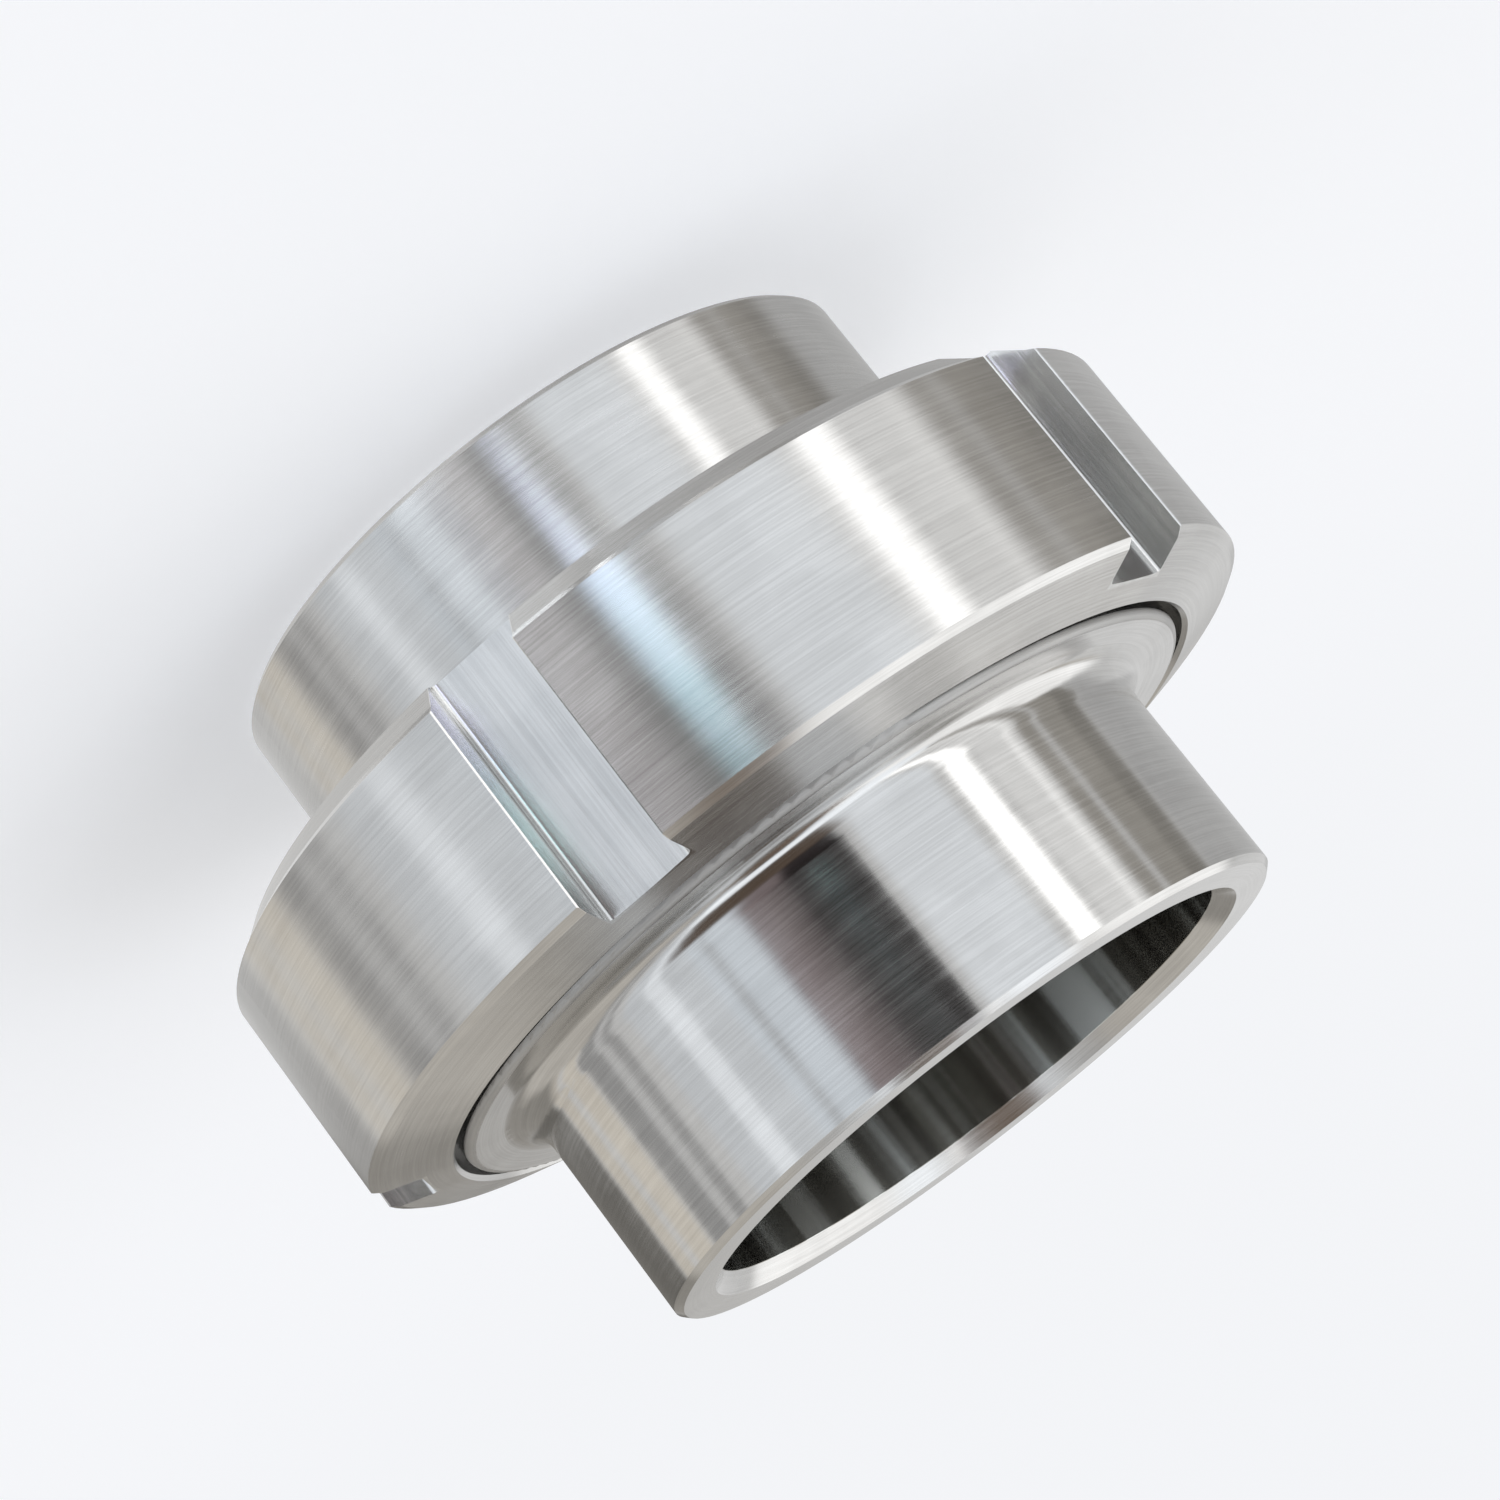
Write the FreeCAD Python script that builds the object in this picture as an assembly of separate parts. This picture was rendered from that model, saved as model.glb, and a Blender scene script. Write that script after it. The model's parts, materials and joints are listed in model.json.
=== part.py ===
"""Sanitary union: two weld stubs drawn face to face by a slotted round nut.

Frame: +Z runs along the bore, from the weld end of the male part to the weld end of the liner.
The origin is the centre of the male part's weld face, so the union stands on that face.
All lengths are in millimetres. Every piece is turned about the Z axis from its half section,
and the nut then gets its wrench slots. The helical thread ridges are a surface detail: here the
male thread and the nut thread are both cut back to their roots.
"""
import FreeCAD, Part
import math
import os

Vector = FreeCAD.Vector

# Weld stubs, alike on the male part and the liner
STUB_DIAMETER = 85.0
BORE_DIAMETER = 70.6
WELD_EDGE_CHAMFER = 0.8
BORE_MOUTH_CHAMFER = 2.0

# Male part
MALE_LENGTH = 44.0
MALE_THREAD_LENGTH = 20.0
MALE_BACK_FILLET = 3.0
MALE_THREAD_CHAMFER = 1.2

# Round thread between the male part and the nut
THREAD_DIAMETER = 111.0
THREAD_DEPTH = 1.8
THREAD_CLEARANCE = 0.2

# Seal ring and its recess in the front face of the male part
SEAL_RECESS_WIDTH = 7.2
SEAL_RECESS_DEPTH = 4.5
SEAL_SIDE_CLEARANCE = 0.4
SEAL_TOP_CLEARANCE = 0.1
SEAL_CORNER_RADIUS = 0.8

# Liner
LINER_LENGTH = 41.0
COLLAR_THICKNESS = 6.0
COLLAR_CLEARANCE = 0.3
COLLAR_CHAMFER = 0.8
NECK_HEIGHT = 6.8
NECK_CLEARANCE = 1.2
NECK_LAND = 4.9
NECK_EDGE_RADIUS = 1.0

# Slotted nut
NUT_SKIRT_HEIGHT = 26.6
NUT_SHOULDER_HEIGHT = 6.2
SHOULDER_OVERLAP = 1.2
COLLAR_POCKET_HEIGHT = 5.0
OUTER_EDGE_WIDTH = 1.2
OUTER_EDGE_HEIGHT = 0.8
FRONT_CONE_HEIGHT = 2.4
RIM_CHAMFER = 0.5
BACK_CONE_WIDTH = 3.2
BACK_CONE_HEIGHT = 2.8
THREAD_MOUTH_CHAMFER = 0.6

# Wrench slots in the nut
SLOT_COUNT = 5
SLOT_WIDTH = 11.7
SLOT_DEPTH = 5.9
SLOT_FLOOR_WALL = 0.7
SLOT_CORNER_RADIUS = 0.8
SLOT_EDGE_BREAK = 0.2
FIRST_SLOT_ANGLE = 90.0

# Radii that follow from the sizes above
stub_radius = STUB_DIAMETER / 2
bore_radius = BORE_DIAMETER / 2
male_root_radius = THREAD_DIAMETER / 2 - THREAD_DEPTH
nut_root_radius = THREAD_DIAMETER / 2 + THREAD_CLEARANCE
nut_crest_radius = male_root_radius + THREAD_CLEARANCE
collar_radius = nut_crest_radius - COLLAR_CLEARANCE
nut_bore_radius = collar_radius - SHOULDER_OVERLAP
neck_radius = nut_bore_radius - NECK_CLEARANCE
slot_floor_radius = nut_root_radius + SLOT_FLOOR_WALL
nut_radius = slot_floor_radius + SLOT_DEPTH
seal_recess_radius = bore_radius + SEAL_RECESS_WIDTH
liner_fillet = neck_radius - NECK_LAND - stub_radius

# Heights that follow from the sizes above
male_back = MALE_LENGTH - MALE_THREAD_LENGTH
seal_seat = MALE_LENGTH - SEAL_RECESS_DEPTH
collar_top = MALE_LENGTH + COLLAR_THICKNESS
neck_top = collar_top + NECK_HEIGHT
liner_end = MALE_LENGTH + LINER_LENGTH
nut_back = collar_top - NUT_SKIRT_HEIGHT
nut_front = collar_top + NUT_SHOULDER_HEIGHT
pocket_bottom = collar_top - COLLAR_POCKET_HEIGHT


class HalfSection:
    """A closed outline in the plane of radius and height, turned about the Z axis."""

    def __init__(self, radius, height):
        self.start = Vector(radius, 0, height)
        self.here = self.start
        self.edges = []

    def line_to(self, radius, height):
        there = Vector(radius, 0, height)
        self.edges.append(Part.LineSegment(self.here, there).toShape())
        self.here = there
        return self

    def quarter_to(self, radius, height, centre_radius, centre_height):
        there = Vector(radius, 0, height)
        centre = Vector(centre_radius, 0, centre_height)
        outward = (self.here - centre) + (there - centre)
        middle = centre + outward.normalize() * (there - centre).Length
        self.edges.append(Part.Arc(self.here, middle, there).toShape())
        self.here = there
        return self

    def turned(self):
        self.line_to(self.start.x, self.start.z)
        face = Part.Face(Part.Wire(self.edges))
        return face.revolve(Vector(0, 0, 0), Vector(0, 0, 1), 360)


def male_part():
    """Weld stub with the threaded body and the seal recess, turned from one piece."""
    fillet_radius = stub_radius + MALE_BACK_FILLET
    section = HalfSection(bore_radius + BORE_MOUTH_CHAMFER, 0)
    section.line_to(stub_radius - WELD_EDGE_CHAMFER, 0)
    section.line_to(stub_radius, WELD_EDGE_CHAMFER)
    section.line_to(stub_radius, male_back - MALE_BACK_FILLET)
    section.quarter_to(fillet_radius, male_back, fillet_radius, male_back - MALE_BACK_FILLET)
    section.line_to(male_root_radius - MALE_THREAD_CHAMFER, male_back)
    section.line_to(male_root_radius, male_back + MALE_THREAD_CHAMFER)
    section.line_to(male_root_radius, MALE_LENGTH - MALE_THREAD_CHAMFER)
    section.line_to(male_root_radius - MALE_THREAD_CHAMFER, MALE_LENGTH)
    section.line_to(seal_recess_radius, MALE_LENGTH)
    section.line_to(seal_recess_radius, seal_seat)
    section.line_to(bore_radius, seal_seat)
    section.line_to(bore_radius, BORE_MOUTH_CHAMFER)
    return section.turned()


def seal_ring():
    """Rubber ring that fills the recess, just below the face that the liner closes."""
    inner = bore_radius + SEAL_SIDE_CLEARANCE
    outer = seal_recess_radius - SEAL_SIDE_CLEARANCE
    top = MALE_LENGTH - SEAL_TOP_CLEARANCE
    corner = SEAL_CORNER_RADIUS
    section = HalfSection(inner, seal_seat)
    section.line_to(outer, seal_seat)
    section.line_to(outer, top - corner)
    section.quarter_to(outer - corner, top, outer - corner, top - corner)
    section.line_to(inner + corner, top)
    section.quarter_to(inner, top - corner, inner + corner, top - corner)
    return section.turned()


def liner():
    """Weld stub with a broad fillet, a short neck and the collar that the nut draws down."""
    fillet_top = neck_top + liner_fillet
    fillet_start = stub_radius + liner_fillet
    section = HalfSection(bore_radius, MALE_LENGTH)
    section.line_to(collar_radius - COLLAR_CHAMFER, MALE_LENGTH)
    section.line_to(collar_radius, MALE_LENGTH + COLLAR_CHAMFER)
    section.line_to(collar_radius, collar_top)
    section.line_to(neck_radius, collar_top)
    section.line_to(neck_radius, neck_top - NECK_EDGE_RADIUS)
    section.quarter_to(neck_radius - NECK_EDGE_RADIUS, neck_top,
                       neck_radius - NECK_EDGE_RADIUS, neck_top - NECK_EDGE_RADIUS)
    section.line_to(fillet_start, neck_top)
    section.quarter_to(stub_radius, fillet_top, fillet_start, fillet_top)
    section.line_to(stub_radius, liner_end - WELD_EDGE_CHAMFER)
    section.line_to(stub_radius - WELD_EDGE_CHAMFER, liner_end)
    section.line_to(bore_radius + BORE_MOUTH_CHAMFER, liner_end)
    section.line_to(bore_radius, liner_end - BORE_MOUTH_CHAMFER)
    return section.turned()


def wrench_slot(angle):
    """Cutter for one slot: a flat floor, rounded corners and a broken edge at the nut's rim."""
    half = SLOT_WIDTH / 2
    corner = SLOT_CORNER_RADIUS
    bend = corner * (1 - math.sqrt(0.5))
    floor = slot_floor_radius
    rim = math.sqrt(nut_radius ** 2 - half ** 2) - SLOT_EDGE_BREAK
    reach = nut_radius + SLOT_DEPTH
    flare = half + reach - rim

    def line(x1, y1, x2, y2):
        return Part.LineSegment(Vector(x1, y1, nut_back), Vector(x2, y2, nut_back)).toShape()

    def corner_arc(side):
        floor_end = Vector(floor, side * (half - corner), nut_back)
        middle = Vector(floor + bend, side * (half - bend), nut_back)
        wall_end = Vector(floor + corner, side * half, nut_back)
        return Part.Arc(floor_end, middle, wall_end).toShape()

    edges = [
        line(floor, corner - half, floor, half - corner),
        corner_arc(1),
        line(floor + corner, half, rim, half),
        line(rim, half, reach, flare),
        line(reach, flare, reach, -flare),
        line(reach, -flare, rim, -half),
        line(rim, -half, floor + corner, -half),
        corner_arc(-1),
    ]
    outline = Part.Wire(edges)
    cutter = Part.Face(outline).extrude(Vector(0, 0, nut_front - nut_back))
    cutter.rotate(Vector(0, 0, 0), Vector(0, 0, 1), angle)
    return cutter


def slotted_nut():
    """Round nut with an inner shoulder over the liner's collar and slots for a hook wrench."""
    edge_radius = nut_radius - OUTER_EDGE_WIDTH
    back_edge = nut_back + BACK_CONE_HEIGHT
    front_edge = nut_front - FRONT_CONE_HEIGHT
    section = HalfSection(nut_root_radius + THREAD_MOUTH_CHAMFER, nut_back)
    section.line_to(edge_radius - BACK_CONE_WIDTH, nut_back)
    section.line_to(edge_radius, back_edge)
    section.line_to(nut_radius, back_edge + OUTER_EDGE_HEIGHT)
    section.line_to(nut_radius, front_edge - OUTER_EDGE_HEIGHT)
    section.line_to(edge_radius, front_edge)
    section.line_to(nut_bore_radius + RIM_CHAMFER, nut_front)
    section.line_to(nut_bore_radius, nut_front - RIM_CHAMFER)
    section.line_to(nut_bore_radius, collar_top)
    section.line_to(nut_crest_radius, collar_top)
    section.line_to(nut_crest_radius, pocket_bottom)
    section.line_to(nut_root_radius, pocket_bottom)
    section.line_to(nut_root_radius, nut_back + THREAD_MOUTH_CHAMFER)
    nut = section.turned()
    for index in range(SLOT_COUNT):
        nut = nut.cut(wrench_slot(FIRST_SLOT_ANGLE + index * 360.0 / SLOT_COUNT))
    return nut


PIECES = {
    "male_part": male_part,
    "seal_ring": seal_ring,
    "liner": liner,
    "slotted_nut": slotted_nut,
}

os.makedirs("parts", exist_ok=True)
for name, build in PIECES.items():
    shape = build()
    solid = shape.Solids[0]
    print(name, "valid" if shape.isValid() else "NOT VALID", len(shape.Solids), round(solid.Volume, 1))
    solid.exportStep("parts/" + name + ".step")
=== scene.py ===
"""Dresses the sanitary union: turned steel, milled wrench slots, its screw thread and a pale studio."""
import json
import math

import bmesh
import bpy
from mathutils import Matrix, Vector


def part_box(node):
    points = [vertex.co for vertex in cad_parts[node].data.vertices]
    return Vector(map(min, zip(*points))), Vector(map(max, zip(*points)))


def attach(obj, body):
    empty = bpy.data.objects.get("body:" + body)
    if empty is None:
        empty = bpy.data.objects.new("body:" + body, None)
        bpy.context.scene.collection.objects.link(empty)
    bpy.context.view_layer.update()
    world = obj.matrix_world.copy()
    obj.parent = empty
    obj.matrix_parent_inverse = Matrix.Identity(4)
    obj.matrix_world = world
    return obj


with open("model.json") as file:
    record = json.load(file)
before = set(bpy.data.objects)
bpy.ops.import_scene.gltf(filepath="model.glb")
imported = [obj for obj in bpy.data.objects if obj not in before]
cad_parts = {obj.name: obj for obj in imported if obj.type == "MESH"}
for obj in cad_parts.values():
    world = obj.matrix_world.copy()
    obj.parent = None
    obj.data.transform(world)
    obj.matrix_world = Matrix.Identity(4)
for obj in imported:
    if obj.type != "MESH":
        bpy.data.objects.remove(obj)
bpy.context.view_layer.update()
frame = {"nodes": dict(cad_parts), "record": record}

# Sizes of the union, in metres, read from its frame
MOUNTS = {mount["name"]: mount for mount in frame["record"]["mounts"]}
STUB_RADIUS = MOUNTS["liner_stub"]["dims"]["r_mm"] / 1000
BORE_RADIUS = MOUNTS["liner_bore"]["dims"]["r_mm"] / 1000
UNION_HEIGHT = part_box("liner")[1][2]
STUB_START = UNION_HEIGHT - 0.0244
NECK_TOP = UNION_HEIGHT - 0.0282

# The screw thread, six turns to the inch
THREAD_PITCH = 0.0254 / 6
MALE_ROOT_RADIUS = 0.0537
NUT_ROOT_RADIUS = 0.0557
RIDGE_HEIGHT = 0.0018
RIDGE_SINK = 0.0003
MALE_THREAD_START = 0.0243
MALE_THREAD_END = 0.0427
NUT_THREAD_START = 0.0244
NUT_THREAD_END = 0.0447
STEPS_PER_TURN = 96
RUN_OUT = math.radians(75)

# The five wrench slots of the nut, in millimetres and degrees
SLOT_COUNT = 5
SLOT_HALF_WIDTH = 5.95
SLOT_FLOOR_RADIUS = 56.1
FIRST_SLOT_ANGLE = 90

# How far beyond a wall's radius its finish still reaches, in millimetres
EDGE_MARGIN = 0.06

# The narrow chamfers at both ends of the nut's rim, in millimetres
NUT_BACK_EDGE = (26.22, 26.98)
NUT_FRONT_EDGE = (53.02, 53.78)
NUT_EDGE_RADIUS = 61.05

# Where the camera stands
CAMERA_AZIMUTH = math.radians(22.07)
CAMERA_DISTANCE = 0.455
CAMERA_HEIGHT = 0.1492
AIM_SIDEWAYS = 0.0035
AIM_HEIGHT = 0.0365
CAMERA_ROLL = math.radians(142.17)
CAMERA_LENS = 96
SENSOR_WIDTH = 36

TOWARDS_CAMERA = Vector((math.sin(CAMERA_AZIMUTH), -math.cos(CAMERA_AZIMUTH), 0))
CAMERA_SIDE = Vector((-math.cos(CAMERA_AZIMUTH), -math.sin(CAMERA_AZIMUTH), 0))

# Colours, as linear red, green and blue
BACKDROP = (0.90, 0.91, 0.935, 1)
STEEL = (0.635, 0.632, 0.622, 1)
STEEL_SHADED = (0.495, 0.490, 0.480, 1)
# The slot floors' colours: the two tones of the milling lines, brightened past the steel's own colour as
# painted light
SLOT_STEEL_PAINTED_LIGHT = (0.84, 0.84, 0.83, 1)
SLOT_DARK_LINES_PAINTED_LIGHT = (0.58, 0.58, 0.575, 1)
# The bore's colours: painted shade darkening the recess, and lighter painted reflections that run along the
# axis
BORE_PAINTED_REFLECTION = (0.68, 0.70, 0.68, 1)
BORE_PAINTED_SHADE = (0.34, 0.33, 0.30, 1)
# Painted shade for the liner's rounded neck edge, a dark grey line
NECK_EDGE_PAINTED_SHADE = (0.40, 0.40, 0.395, 1)
RUBBER = (0.022, 0.022, 0.024, 1)

# Finishes of the steel: roughness, anisotropy, its turn, and the depth of the tool lines in metres
STUB_TURNED = (0.25, 0.94, 0.25, 0.0000026)
LINER_TURNED = (0.155, 0.82, 0.25, 0.0000026)
NUT_TURNED = (0.24, 0.95, 0.25, 0.0000026)
BORED = (0.20, 0.88, 0.25, 0.0000022)
BUFFED = (0.15, 0.3, 0.25, 0.0000005)
EDGE_BUFFED = (0.16, 0.3, 0.25, 0.0000005)
EDGE_DULLED = (0.50, 0.0, 0.25, 0.0000005)
MILLED = (0.20, 0.80, 0.0, 0.000036)

# Tool lines to a millimetre across the cut, and how far they are stretched out along it
TURNING_LINES = (4.0, 0.06)
NUT_TURNING_LINES = (3.8, 0.05)
MILLING_LINES = (2.4, 0.03)
MILLING_WAVES = (0.55, 0.008)
# The bore's painted reflections, light lines along the axis: to a millimetre round it, and along it
BORE_PAINTED_STREAKS = (0.16, 0.005)
# The clouds of handling: how many to a millimetre, and the range of the noise that they spread over
CLOUD_SCALE = 0.11
NUT_CLOUD_SCALE = 0.09
CLOUD_RANGE = (0.35, 0.65)
# The range of the noise that the bore's painted reflections spread over
PAINTED_STREAK_RANGE = (0.38, 0.66)

# Strips of the light tent that the steel mirrors: azimuth from the camera, half width and soft edge in
# degrees, strength, tint, and the part of the tent's height that the strip takes up
TENT_LEVEL = 0.86
COOL = (0.96, 1.0, 1.05)
PLAIN = (1.0, 1.0, 1.0)
WARM = (1.05, 1.0, 0.92)
SAND = (1.07, 1.0, 0.89)
PLUM = (1.15, 0.95, 0.97)
BROWN = (1.30, 0.95, 0.72)
STRIPS = (
    ("left_table_edge", -162, 30, 6, 0.18, WARM, "top"),
    ("left_far_wall", -124, 3, 2, 0.78, SAND, "full"),
    ("left_warm_wall", -110, 4, 3, 0.84, SAND, "full"),
    ("left_gap", -97, 5, 1.5, 0.44, PLAIN, "full"),
    ("left_gap_light", -89.5, 2, 1.5, 0.78, PLAIN, "full"),
    ("left_gap_edge", -84.5, 2, 1.5, 0.50, PLAIN, "full"),
    ("left_window", -60, 13, 4, 0.93, COOL, "full"),
    ("left_window_bar", -60, 3, 2, 1.30, COOL, "full"),
    ("left_cool_wall", -31, 12, 4, 1.0, (0.93, 1.0, 1.08), "full"),
    ("left_dip", -38, 1, 1.5, 0.72, COOL, "full"),
    ("front_stand_side", -14, 7, 6, 0.24, PLUM, "upper"),
    ("front_stand", 3.5, 9, 3, 0.03, PLUM, "upper"),
    ("front_left_low", -24, 15, 5, 3.4, COOL, "low"),
    ("front_low_lamp", 10.5, 3.5, 2, 5.0, COOL, "low"),
    ("right_panel", 34, 13, 4, 1.16, COOL, "full"),
    ("right_lamp", 58, 3.5, 1.5, 2.3, PLAIN, "full"),
    ("right_panel_edge", 74.5, 7.5, 1.5, 1.08, PLAIN, "full"),
    ("right_bar", 79, 1, 1, 1.5, PLAIN, "full"),
    ("right_gap", 98, 13.5, 1.5, 0.43, WARM, "full"),
    ("right_gap_line", 92, 1, 1, 0.80, PLAIN, "full"),
    ("right_gap_corner", 110, 3, 4, 0.30, WARM, "full"),
    ("right_wall", 147, 29, 4, 0.58, PLAIN, "full"),
    ("behind", 168, 26, 20, 0.80, PLAIN, "sky"),
    ("behind_shade", -150, 18, 14, 0.34, WARM, "sky"),
    ("roof_front", -18, 28, 14, 0.10, BROWN, "roof"),
    ("roof_lamp", 28, 82, 16, 1.60, COOL, "lamp"),
    ("roof_right", 124, 24, 8, 1.50, PLAIN, "roof"),
    ("roof_back", 180, 22, 8, 0.64, WARM, "roof"),
    ("roof_back_line", 166, 4, 4, 0.86, PLAIN, "roof"),
    ("roof_left", -128, 26, 8, 0.66, WARM, "roof"),
)
# Where each part of the height begins, as the sine of the elevation
LOWEST_EDGE = (-0.92, -0.86)
LOW_EDGE = (-0.62, -0.54)
UPPER_EDGE = (-0.33, -0.27)
TOP_EDGE = (-0.25, -0.19)
SKY_EDGE = (-0.03, 0.05)
ROOF_EDGE = (0.36, 0.46)
LAMP_EDGES = (0.84, 0.89, 0.955, 0.975)
ZENITH_EDGE = (0.975, 0.990)
ZENITH_LEVEL = 0.16

# The dark card in front and the small glowing one nearer by, in metres: width, lower and upper edge,
# distance from the axis, and azimuth from the camera in radians
SHADE_CARD = (0.192, 0.0, 0.058, 0.300, math.radians(-3.25))
# The shade card's levels at its left and right, and the azimuths in degrees between which they change
SHADE_LEVELS = (0.34, 0.015)
SHADE_FADE = (-21, -2)
GLOW_CARD = (0.030, -0.014, 0.022, 0.150, math.radians(3.3))
# The glow card's colours below and above, the heights between which they change, and the degrees from
# its middle between which it fades out
GLOW_COLOURS = ((2.15, 2.15, 3.05, 1), (1.60, 2.60, 2.65, 1))
GLOW_CHANGE = (-0.002, 0.014)
GLOW_WIDTHS = (1.0, 5.5)

# The floor, in metres
FLOOR_COLOUR = (0.56, 0.57, 0.59, 1)
FLOOR_LIFT = 0.49
FLOOR_FADE_START = 0.16
FLOOR_FADE_END = 0.60
FLOOR_MIRRORED_RADIUS = 0.037
FLOOR_HALF_SIZE = 3.0
FLOOR_GAP = 0.00005


class Value:
    """A number or colour on its way through a finish, with Python's own arithmetic."""

    def __init__(self, finish, socket):
        self.finish = finish
        self.socket = socket

    def maths(self, operation, *terms):
        return self.finish.add("ShaderNodeMath", {"operation": operation}, dict(enumerate(terms)))

    def __add__(self, other):
        return self.maths("ADD", self, other)

    def __sub__(self, other):
        return self.maths("SUBTRACT", self, other)

    def __rsub__(self, other):
        return self.maths("SUBTRACT", other, self)

    def __mul__(self, other):
        return self.maths("MULTIPLY", self, other)

    def __truediv__(self, other):
        return self.maths("DIVIDE", self, other)

    def __rtruediv__(self, other):
        return self.maths("DIVIDE", other, self)

    def __pow__(self, other):
        return self.maths("POWER", self, other)

    def __abs__(self):
        return self.maths("ABSOLUTE", self)

    def __gt__(self, other):
        return self.maths("GREATER_THAN", self, other)

    def __lt__(self, other):
        return self.maths("LESS_THAN", self, other)

    __radd__ = __add__
    __rmul__ = __mul__


class Finish:
    """The nodes of one material, or of the light tent around the union."""

    def __init__(self, tree):
        self.tree = tree
        tree.nodes.clear()

    def add(self, kind, settings=None, inputs=None, output=0):
        node = self.tree.nodes.new(kind)
        for name, setting in (settings or {}).items():
            setattr(node, name, setting)
        for name, value in (inputs or {}).items():
            if isinstance(value, Value):
                self.tree.links.new(value.socket, node.inputs[name])
            else:
                node.inputs[name].default_value = value
        return Value(self, node.outputs[output] if len(node.outputs) else None)

    def place_mm(self):
        """The point on the piece in millimetres, whole and as its x, y and z."""
        point = self.add("ShaderNodeTexCoord", output="Object")
        point = self.add("ShaderNodeVectorMath", {"operation": "SCALE"}, {"Vector": point, "Scale": 1000})
        parts = [self.add("ShaderNodeSeparateXYZ", None, {"Vector": point}, axis) for axis in "XYZ"]
        return point, *parts

    def join(self, x, y, z):
        return self.add("ShaderNodeCombineXYZ", None, {"X": x, "Y": y, "Z": z})

    def rise(self, value, low, high, start=0.0, end=1.0):
        """Goes smoothly from start to end while value goes from low to high."""
        return self.add(
            "ShaderNodeMapRange",
            {"interpolation_type": "SMOOTHSTEP"},
            {"Value": value, "From Min": low, "From Max": high, "To Min": start, "To Max": end},
        )

    def noise(self, vector, scale=1.0, detail=2.0, roughness=0.5, w=None):
        inputs = {"Vector": vector, "Scale": scale, "Detail": detail, "Roughness": roughness}
        if w is not None:
            inputs["W"] = w
        return self.add("ShaderNodeTexNoise", {"noise_dimensions": "3D" if w is None else "4D"}, inputs)

    def blend(self, factor, first, second):
        """One colour where factor is 0, the other where it is 1."""
        settings = {"data_type": "RGBA"}
        return self.add("ShaderNodeMix", settings, {0: factor, 6: first, 7: second}, 2)

    def either(self, factor, first, second):
        """One shader where factor is 0, the other where it is 1."""
        return self.add("ShaderNodeMixShader", None, {0: factor, 1: first, 2: second})


def new_finish(name):
    material = bpy.data.materials.new(name)
    material.use_nodes = True
    return material, Finish(material.node_tree)


def grey(level, tint=(1.0, 1.0, 1.0)):
    return (level * tint[0], level * tint[1], level * tint[2], 1)


# Steel


def turning_lines(finish, point, radius, fineness, stretch):
    """Tool lines around the axis, as they lie on walls, cones and flat faces alike."""
    along = finish.add("ShaderNodeVectorMath", {"operation": "MULTIPLY"},
                       {0: point, 1: (stretch, stretch, fineness)})
    return finish.noise(along, 1.0, 4.0, 0.62, w=radius * fineness)


def steel_surface(finish, lines, clouds, grade, dark=STEEL_SHADED, light=STEEL):
    """Bare stainless steel with its lines and the faint clouds that handling leaves."""
    roughness, anisotropy, turn, relief = grade
    tone = finish.rise(lines, 0.30, 0.70)
    colour = finish.blend(tone * 0.65 + clouds * 0.35, dark, light)
    bump = finish.add("ShaderNodeBump", None, {"Strength": 1.0, "Distance": relief, "Height": lines})
    return finish.add(
        "ShaderNodeBsdfPrincipled",
        None,
        {
            "Base Color": colour,
            "Metallic": 1.0,
            "Roughness": roughness + (lines - 0.5) * 0.10 + (clouds - 0.5) * 0.03,
            "Anisotropic": anisotropy,
            "Anisotropic Rotation": turn,
            "Normal": bump,
        },
    )


def turned_steel(name, grade, buffed_zones, dulled_painted_shade_zone=None):
    """Steel turned in a lathe; each zone is a fillet, chamfer or edge, given by its heights and radii."""
    material, finish = new_finish(name)
    point, x, y, z = finish.place_mm()
    radius = (x * x + y * y) ** 0.5
    lines = turning_lines(finish, point, radius, *TURNING_LINES)
    clouds = finish.rise(finish.noise(point, CLOUD_SCALE, 3.0, 0.55), *CLOUD_RANGE)
    outside = steel_surface(finish, lines, clouds, grade)

    # The bore: painted shade, a darker colour for the recess, with lighter painted reflections along the
    # axis
    round_axis, along_axis = BORE_PAINTED_STREAKS
    painted_streaks = finish.noise(finish.join(x * round_axis, y * round_axis, z * along_axis), 1.0, 3.0, 0.5)
    painted_streaks = finish.rise(painted_streaks, *PAINTED_STREAK_RANGE)
    bore = steel_surface(finish, lines * 0.3 + painted_streaks * 0.7, painted_streaks, BORED, BORE_PAINTED_SHADE, BORE_PAINTED_REFLECTION)
    surface = finish.either(radius < BORE_RADIUS * 1000 + EDGE_MARGIN, outside, bore)

    buffed = steel_surface(finish, lines, clouds, BUFFED)
    zones = [within(z, low, high) * within(radius, near, far) for low, high, near, far in buffed_zones]
    surface = finish.either(sum(zones[1:], zones[0]), surface, buffed)
    if dulled_painted_shade_zone:
        # Rougher there, and painted darker: painted shade along the neck edge
        dulled_painted_shade = steel_surface(finish, lines, clouds, EDGE_DULLED, NECK_EDGE_PAINTED_SHADE, STEEL_SHADED)
        low, high, near, far = dulled_painted_shade_zone
        surface = finish.either(within(z, low, high) * within(radius, near, far), surface, dulled_painted_shade)
    finish.add("ShaderNodeOutputMaterial", None, {"Surface": surface})
    return material


def within(value, low, high):
    return (value > low) * (value < high)


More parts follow.
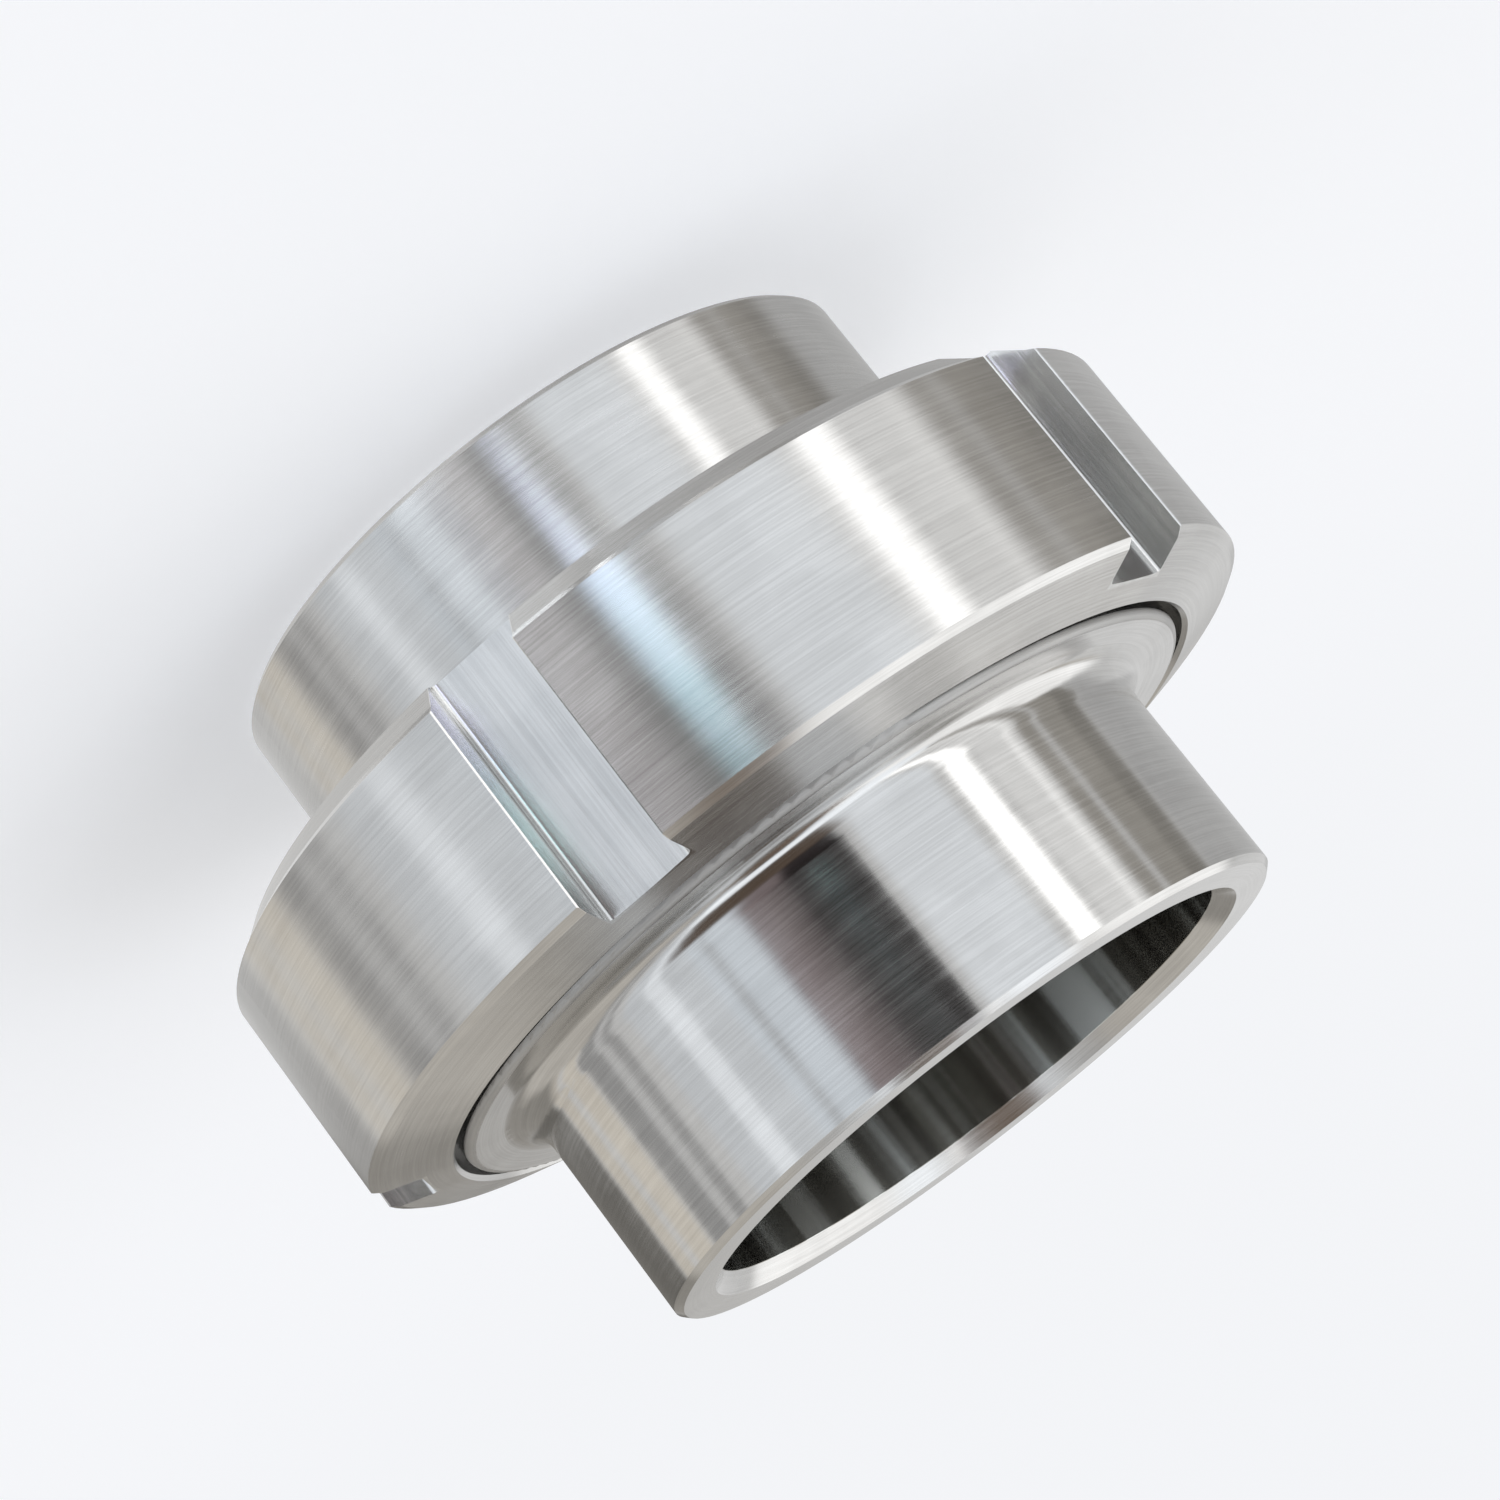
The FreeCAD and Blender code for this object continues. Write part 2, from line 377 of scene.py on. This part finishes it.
def nut_steel(name):
    """The nut: turned all over, its wrench slots milled along the axis."""
    material, finish = new_finish(name)
    point, x, y, z = finish.place_mm()
    radius = (x * x + y * y) ** 0.5
    lines = turning_lines(finish, point, radius, *NUT_TURNING_LINES)
    clouds = finish.rise(finish.noise(point, NUT_CLOUD_SCALE, 3.0, 0.55), *CLOUD_RANGE)
    turned = steel_surface(finish, lines, clouds, NUT_TURNED)

    step = 2 * math.pi / SLOT_COUNT
    first = math.radians(FIRST_SLOT_ANGLE)
    angle = finish.add("ShaderNodeMath", {"operation": "ARCTAN2"}, {0: y, 1: x}) - first + step / 2
    angle = finish.add("ShaderNodeMath", {"operation": "FLOORED_MODULO"}, {0: angle, 1: step}) - step / 2
    across = radius * finish.add("ShaderNodeMath", {"operation": "SINE"}, {0: angle})
    outward = radius * finish.add("ShaderNodeMath", {"operation": "COSINE"}, {0: angle})
    in_slot = (abs(across) < SLOT_HALF_WIDTH) * (radius > SLOT_FLOOR_RADIUS)

    def milling(fineness, stretch, detail, roughness):
        place = finish.join(across * fineness, outward * fineness, z * stretch)
        return finish.noise(place, 1.0, detail, roughness)

    cuts = milling(*MILLING_LINES, 4.0, 0.65) * 0.5 + milling(*MILLING_WAVES, 2.0, 0.5) * 0.5
    # The slot floors are painted brighter than the steel: painted light over the tones of the milling lines
    milled = steel_surface(finish, cuts, clouds, MILLED, SLOT_DARK_LINES_PAINTED_LIGHT, SLOT_STEEL_PAINTED_LIGHT)
    buffed = steel_surface(finish, lines, clouds, EDGE_BUFFED)
    edges = within(z, *NUT_BACK_EDGE) + within(z, *NUT_FRONT_EDGE)
    turned = finish.either(edges * (radius > NUT_EDGE_RADIUS), turned, buffed)
    finish.add("ShaderNodeOutputMaterial", None, {"Surface": finish.either(in_slot, turned, milled)})
    return material


def seal_rubber(name):
    material, finish = new_finish(name)
    point = finish.place_mm()[0]
    grain = finish.noise(point, 2.4, 4.0, 0.6)
    bump = finish.add("ShaderNodeBump", None, {"Strength": 0.6, "Distance": 0.00004, "Height": grain})
    surface = finish.add(
        "ShaderNodeBsdfPrincipled",
        None,
        {
            "Base Color": finish.blend(grain, RUBBER, grey(0.04)),
            "Roughness": 0.55 + grain * 0.2,
            "Normal": bump,
        },
    )
    finish.add("ShaderNodeOutputMaterial", None, {"Surface": surface})
    return material


# Screw thread


def helical_ridge(name, root_radius, height, start, end, body, material):
    """One turned ridge that winds up the thread; a negative height points it at the axis."""
    turns = (end - start - THREAD_PITCH) / THREAD_PITCH
    steps = round(turns * STEPS_PER_TURN)
    sink = -math.copysign(RIDGE_SINK, height)
    mesh = bmesh.new()
    # The section of the ridge, a full wave with its foot just inside the wall that carries it
    ring = [mesh.verts.new((root_radius + sink, 0, start + share * THREAD_PITCH)) for share in (1.0, 0.0)]
    for place in range(13):
        share = place / 12
        out = height * (1 - math.cos(2 * math.pi * share)) / 2
        ring.append(mesh.verts.new((root_radius + out, 0, start + share * THREAD_PITCH)))
    edges = [mesh.edges.new((ring[index - 1], ring[index])) for index in range(len(ring))]
    phase = 2 * math.pi * (start - MALE_THREAD_START) / THREAD_PITCH
    if height < 0:
        phase += math.pi
    bmesh.ops.rotate(mesh, cent=(0, 0, 0), matrix=Matrix.Rotation(phase, 3, "Z"), verts=mesh.verts[:])
    bmesh.ops.spin(
        mesh,
        geom=ring + edges,
        cent=(0, 0, 0),
        axis=(0, 0, 1),
        dvec=(0, 0, THREAD_PITCH / STEPS_PER_TURN),
        angle=2 * math.pi * steps / STEPS_PER_TURN,
        steps=steps,
        use_duplicate=False,
    )
    whole = 2 * math.pi * steps / STEPS_PER_TURN
    mesh.verts.ensure_lookup_table()
    for index, vertex in enumerate(mesh.verts):
        turned = index // len(ring) * 2 * math.pi / STEPS_PER_TURN
        share = min(turned / RUN_OUT, (whole - turned) / RUN_OUT, 1)
        share = share * share * (3 - 2 * share)
        radius = math.hypot(vertex.co.x, vertex.co.y)
        out = radius - root_radius
        if out * height > 0:
            vertex.co.xy *= (root_radius + out * share) / radius
    open_edges = [edge for edge in mesh.edges if edge.is_boundary]
    bmesh.ops.holes_fill(mesh, edges=open_edges, sides=0)
    bmesh.ops.recalc_face_normals(mesh, faces=mesh.faces[:])
    for face in mesh.faces:
        face.smooth = len(face.verts) == 4
    ridge = place_piece(name, mesh, material)
    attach(ridge, body)
    return ridge


def place_piece(name, mesh, material):
    data = bpy.data.meshes.new(name)
    mesh.to_mesh(data)
    mesh.free()
    data.materials.append(material)
    piece = bpy.data.objects.new(name, data)
    bpy.context.scene.collection.objects.link(piece)
    return piece


# Studio


def pale_floor():
    """A pale floor that keeps the shadow near the union, melts into the backdrop further out, and
    is clear when seen from below."""
    material, finish = new_finish("pale_floor")
    point = finish.add("ShaderNodeTexCoord", output="Object")
    distance = finish.add("ShaderNodeVectorMath", {"operation": "LENGTH"}, {0: point}, "Value")
    camera_ray = finish.add("ShaderNodeLightPath", output="Is Camera Ray")
    glossy_ray = finish.add("ShaderNodeLightPath", output="Is Glossy Ray")
    matt = finish.add("ShaderNodeBsdfDiffuse", None, {"Color": FLOOR_COLOUR})
    lift = finish.add("ShaderNodeEmission", None, {"Color": BACKDROP, "Strength": camera_ray * FLOOR_LIFT})
    near = finish.add("ShaderNodeAddShader", None, {0: matt, 1: lift})
    far = finish.add("ShaderNodeEmission", None, {"Color": BACKDROP, "Strength": 1.0})
    surface = finish.either(camera_ray * finish.rise(distance, FLOOR_FADE_START, FLOOR_FADE_END), near, far)
    clear = finish.add("ShaderNodeBsdfTransparent")
    surface = finish.either(glossy_ray * (distance > FLOOR_MIRRORED_RADIUS), surface, clear)
    from_below = finish.add("ShaderNodeNewGeometry", output="Backfacing")
    surface = finish.either(from_below, surface, clear)
    finish.add("ShaderNodeOutputMaterial", None, {"Surface": surface})

    mesh = bmesh.new()
    bmesh.ops.create_grid(mesh, x_segments=2, y_segments=2, size=FLOOR_HALF_SIZE)
    bmesh.ops.translate(mesh, vec=(0, 0, -FLOOR_GAP), verts=mesh.verts[:])
    floor = place_piece("floor", mesh, material)


def camera_azimuth(finish, vector):
    """The degrees by which a direction, or a place, lies beside the camera's own azimuth."""
    side, front = (
        finish.add("ShaderNodeVectorMath", {"operation": "DOT_PRODUCT"}, {0: vector, 1: way}, "Value")
        for way in (CAMERA_SIDE, TOWARDS_CAMERA)
    )
    return finish.add("ShaderNodeMath", {"operation": "ARCTAN2"}, {0: side, 1: front}) * (180 / math.pi)


def stand_card(name, surface_colour, place):
    """A card that only the steel mirrors, standing in front of the union."""
    width, bottom, top, distance, azimuth = place
    material, finish = new_finish(name)
    point = finish.add("ShaderNodeTexCoord", output="Object")
    colour, cover = surface_colour(finish, point)
    surface = finish.add("ShaderNodeEmission", None, {"Color": colour, "Strength": 1.0})
    clear = finish.add("ShaderNodeBsdfTransparent")
    finish.add("ShaderNodeOutputMaterial", None, {"Surface": finish.either(cover, clear, surface)})
    mesh = bmesh.new()
    bmesh.ops.create_grid(mesh, x_segments=1, y_segments=1, size=0.5)
    bmesh.ops.scale(mesh, vec=(width, top - bottom, 1), verts=mesh.verts[:])
    upright = Matrix.Rotation(math.pi / 2, 3, "X")
    bmesh.ops.rotate(mesh, cent=(0, 0, 0), matrix=upright, verts=mesh.verts[:])
    bmesh.ops.translate(mesh, vec=(0, -distance, (top + bottom) / 2), verts=mesh.verts[:])
    turn = Matrix.Rotation(CAMERA_AZIMUTH - azimuth, 3, "Z")
    bmesh.ops.rotate(mesh, cent=(0, 0, 0), matrix=turn, verts=mesh.verts[:])
    card = place_piece(name, mesh, material)
    card.visible_camera = False
    card.visible_diffuse = False
    card.visible_shadow = False


def shade_colour(finish, point):
    """Nearly black, greyer towards the left."""
    level = finish.rise(camera_azimuth(finish, point), *SHADE_FADE)
    return finish.blend(level, grey(SHADE_LEVELS[0], PLUM), grey(SHADE_LEVELS[1], PLUM)), 1.0


def glow_colour(finish, point):
    """Violet light below and sea-green light above, fading out to both sides."""
    height = finish.add("ShaderNodeSeparateXYZ", None, {"Vector": point}, "Z")
    side = abs(camera_azimuth(finish, point) - math.degrees(GLOW_CARD[4]))
    colour = finish.blend(finish.rise(height, *GLOW_CHANGE), *GLOW_COLOURS)
    return colour, finish.rise(side, *GLOW_WIDTHS, 1, 0)


def light_tent():
    """The surroundings: strips of light and shade around the union, a pale roof, a pale backdrop."""
    world = bpy.data.worlds.new("light_tent")
    bpy.context.scene.world = world
    world.use_nodes = True
    finish = Finish(world.node_tree)
    view = finish.add("ShaderNodeTexCoord", output="Generated")
    height = finish.add("ShaderNodeSeparateXYZ", None, {"Vector": view}, "Z")
    azimuth = camera_azimuth(finish, view)

    def strip(centre, half_width, soft):
        off = finish.add("ShaderNodeMath", {"operation": "PINGPONG"}, {0: azimuth - centre, 1: 180})
        return finish.rise(off, half_width, half_width + soft, 1, 0)

    parts = {
        "full": 1.0,
        "low": finish.rise(height, *LOW_EDGE, 1, 0) * finish.rise(height, *LOWEST_EDGE),
        "upper": finish.rise(height, *UPPER_EDGE),
        "top": finish.rise(height, *TOP_EDGE),
        "sky": finish.rise(height, *SKY_EDGE),
        "roof": finish.rise(height, *ROOF_EDGE),
        "lamp": finish.rise(height, *LAMP_EDGES[:2]) * finish.rise(height, *LAMP_EDGES[2:], 1, 0),
    }
    colour = grey(TENT_LEVEL)
    for name, centre, half_width, soft, strength, tint, part in STRIPS:
        colour = finish.blend(strip(centre, half_width, soft) * parts[part], colour, grey(strength, tint))
    colour = finish.blend(finish.rise(height, *ZENITH_EDGE), colour, grey(ZENITH_LEVEL, BROWN))

    camera_ray = finish.add("ShaderNodeLightPath", output="Is Camera Ray")
    colour = finish.blend(camera_ray, colour, BACKDROP)
    background = finish.add("ShaderNodeBackground", None, {"Color": colour, "Strength": 1.0})
    finish.add("ShaderNodeOutputWorld", None, {"Surface": background})


def stand_camera():
    data = bpy.data.cameras.new("camera")
    data.sensor_width = SENSOR_WIDTH
    data.lens = CAMERA_LENS
    camera = bpy.data.objects.new("camera", data)
    eye = TOWARDS_CAMERA * CAMERA_DISTANCE + Vector((0, 0, CAMERA_HEIGHT))
    aim = CAMERA_SIDE * AIM_SIDEWAYS + Vector((0, 0, AIM_HEIGHT))
    facing = (aim - eye).to_track_quat("-Z", "Y").to_matrix().to_4x4()
    camera.matrix_world = Matrix.Translation(eye) @ facing @ Matrix.Rotation(CAMERA_ROLL, 4, "Z")
    bpy.context.scene.collection.objects.link(camera)
    bpy.context.scene.camera = camera


# The zones below are lowest and highest height, then nearest and furthest radius, in millimetres
MOUTH = (BORE_RADIUS * 1000 + EDGE_MARGIN, BORE_RADIUS * 1000 + 1.98)
UNION_TOP_MM = UNION_HEIGHT * 1000
NECK_TOP_MM = NECK_TOP * 1000
stub_steel = turned_steel("stub_steel", STUB_TURNED, (
    (-0.1, 2.05, *MOUTH),
    (20.98, 24.02, STUB_RADIUS * 1000 + 0.05, 53.8),
))
liner_steel = turned_steel("liner_steel", LINER_TURNED, (
    (UNION_TOP_MM - 2.05, UNION_TOP_MM + 0.1, *MOUTH),
    (NECK_TOP_MM + 0.02, STUB_START * 1000, STUB_RADIUS * 1000 + 0.02, 46.3),
# The neck edge below is rougher and painted darker, a painted shade
), (NECK_TOP_MM - 1.02, NECK_TOP_MM - 0.01, 50.15, 51.3))
ring_steel = nut_steel("nut_steel")
rubber = seal_rubber("seal_rubber")

for node, material in (
    ("male_part", stub_steel),
    ("liner", liner_steel),
    ("slotted_nut", ring_steel),
    ("seal_ring", rubber),
):
    for slot in frame["nodes"][node].material_slots:
        slot.material = material

helical_ridge("male_thread", MALE_ROOT_RADIUS, RIDGE_HEIGHT, MALE_THREAD_START, MALE_THREAD_END,
              "male", stub_steel)
helical_ridge("nut_thread", NUT_ROOT_RADIUS, -RIDGE_HEIGHT, NUT_THREAD_START, NUT_THREAD_END,
              "nut", ring_steel)

pale_floor()
stand_card("shade_card", shade_colour, SHADE_CARD)
stand_card("glow_card", glow_colour, GLOW_CARD)
light_tent()
stand_camera()
bpy.context.scene.view_settings.view_transform = "Standard"
